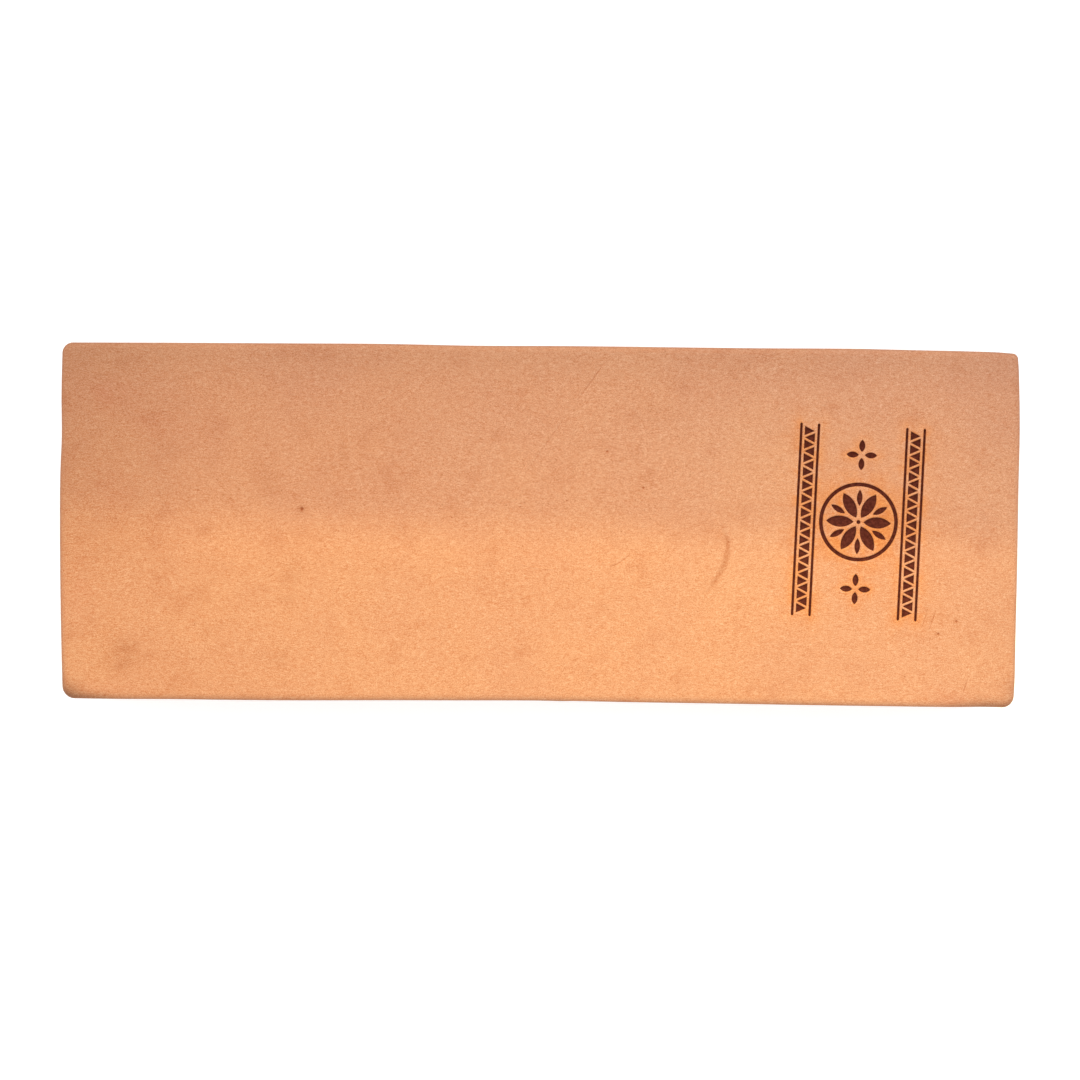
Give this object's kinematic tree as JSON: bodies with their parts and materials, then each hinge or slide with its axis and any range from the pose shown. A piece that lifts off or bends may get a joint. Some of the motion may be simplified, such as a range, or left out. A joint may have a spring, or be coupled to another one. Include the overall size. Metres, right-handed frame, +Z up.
{
  "type": "leather bench strop",
  "caption": "Rectangular bench strop: a wooden block faced with leather on both sides, smooth grain side up with a burnt rosette ornament, suede side down, for honing knife and chisel edges.",
  "frame": {"origin": "centre of the resting face, at the bottom", "axes": "+X along the block towards the ornamented end, +Y across it, +Z up out of the smooth honing face"},
  "size_m": [0.203, 0.0758, 0.0248],
  "materials": {
    "smooth_leather": "natural vegetable-tanned grain, satin, undyed",
    "suede_leather": "natural flesh side, short nap, matte",
    "wood_core": "planed beech, thin oil finish",
    "glue": "dried contact cement, amber, satin"
  },
  "bodies": {
    "root": {"smooth_leather": "smooth_leather", "upper_glue": "glue", "wood_core": "wood_core", "lower_glue": "glue", "suede_leather": "suede_leather"}
  },
  "joints": []
}
